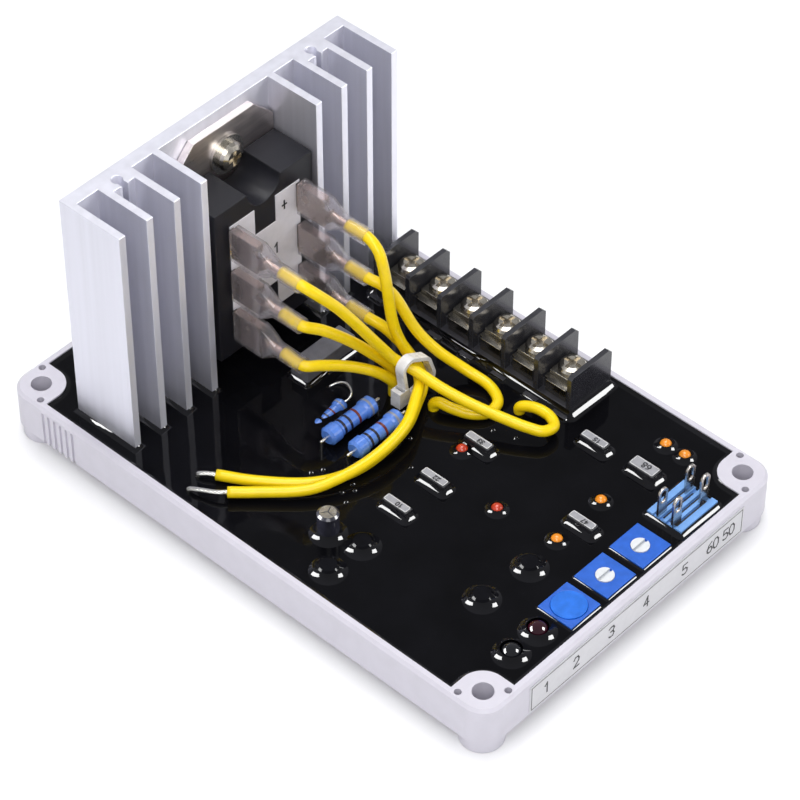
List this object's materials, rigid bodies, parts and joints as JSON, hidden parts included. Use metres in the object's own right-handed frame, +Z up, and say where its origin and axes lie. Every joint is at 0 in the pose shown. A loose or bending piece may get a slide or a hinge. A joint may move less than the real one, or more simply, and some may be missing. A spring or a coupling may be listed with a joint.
{
  "type": "automatic voltage regulator",
  "caption": "Potted generator voltage regulator in an open tray: finned heat sink, tabbed power module, yellow leads, barrier terminal strip, trimmers and indicator lamps.",
  "frame": {"origin": "under the middle of the tray, at the bottom of its feet", "axes": "+X towards the terminal strip, +Y towards the heat sink, -Y is the front with the trimmers, +Z up"},
  "size_m": [0.097, 0.1452, 0.0763],
  "materials": {
    "tray_plastic": "fine satin moulding",
    "board": "satin, sealed in the resin",
    "resin": "glossy cast resin with a rounded edge at each part",
    "aluminium": "extruded, satin with fine lines along Z",
    "screw_steel": "zinc plated",
    "nickel": "nickel plated, satin",
    "black_plastic": "satin moulding",
    "label": null,
    "tab_metal": "tinned",
    "receptacle_brass": "tinned brass",
    "sleeve_clear": "clear soft plastic",
    "lead_yellow": "satin insulation",
    "tinned_wire": "tinned strands",
    "tie_white": "nylon",
    "trimmer_blue": "moulded",
    "rotor_white": "moulded",
    "seal_blue": "sealing lacquer",
    "selector_blue": "moulded",
    "lamp_clear": "clear lens, unlit",
    "lamp_red": "tinted lens, unlit",
    "film_grey": "dipped film case",
    "bead_orange": "dipped bead",
    "bead_red": "dipped bead",
    "can_dark": "sleeved can with a bright top",
    "can_black": "sleeved can",
    "box_grey": "moulded case",
    "resistor_blue": "lacquered with dark bands"
  },
  "bodies": {
    "base": {"tray": "tray_plastic", "circuit_board": "board", "potting_resin": "resin", "heat_sink": "aluminium", "heat_sink_screws": "screw_steel", "module_base": "nickel", "module_body": "black_plastic", "module_label": "label", "module_tabs": "tab_metal", "module_washers": "screw_steel", "module_screws": "screw_steel", "receptacle_1": "receptacle_brass", "receptacle_2": "receptacle_brass", "receptacle_3": "receptacle_brass", "receptacle_4": "receptacle_brass", "receptacle_5": "receptacle_brass", "receptacle_6": "receptacle_brass", "sleeve_1": "sleeve_clear", "sleeve_2": "sleeve_clear", "sleeve_3": "sleeve_clear", "sleeve_4": "sleeve_clear", "sleeve_5": "sleeve_clear", "sleeve_6": "sleeve_clear", "lead_1": "lead_yellow", "lead_2": "lead_yellow", "lead_3": "lead_yellow", "lead_4": "lead_yellow", "lead_5": "lead_yellow", "lead_6": "lead_yellow", "tinned_ends": "tinned_wire", "cable_tie": "tie_white", "terminal_block": "black_plastic", "terminal_plates": "nickel", "terminal_clamps": "nickel", "terminal_screws": "screw_steel", "trimmer_1": "trimmer_blue", "trimmer_2": "trimmer_blue", "trimmer_3": "trimmer_blue", "seal_disc": "seal_blue", "selector_block": "selector_blue", "selector_lugs": "tab_metal", "power_lamp": "lamp_clear", "warning_lamp": "lamp_red", "film_capacitors": "film_grey", "orange_capacitors": "bead_orange", "red_capacitors": "bead_red", "tall_capacitor": "can_dark", "low_capacitors": "can_black", "box_capacitor": "box_grey", "resistor_1": "resistor_blue", "resistor_2": "resistor_blue", "resistor_3": "resistor_blue", "resistor_wires": "tinned_wire", "front_label": "label"},
    "rotor_2": {"rotor_2": "rotor_white"},
    "rotor_3": {"rotor_3": "rotor_white"}
  },
  "joints": [
    {"name": "trimmer_2_turn", "type": "hinge", "parent": "base", "child": "rotor_2", "pos_m": [-0.0009, -0.06435, 0.014], "axis": [0, 0, 1], "range_deg": [-135, 135]},
    {"name": "trimmer_3_turn", "type": "hinge", "parent": "base", "child": "rotor_3", "pos_m": [0.01085, -0.06435, 0.014], "axis": [0, 0, 1], "range_deg": [-135, 135]}
  ]
}
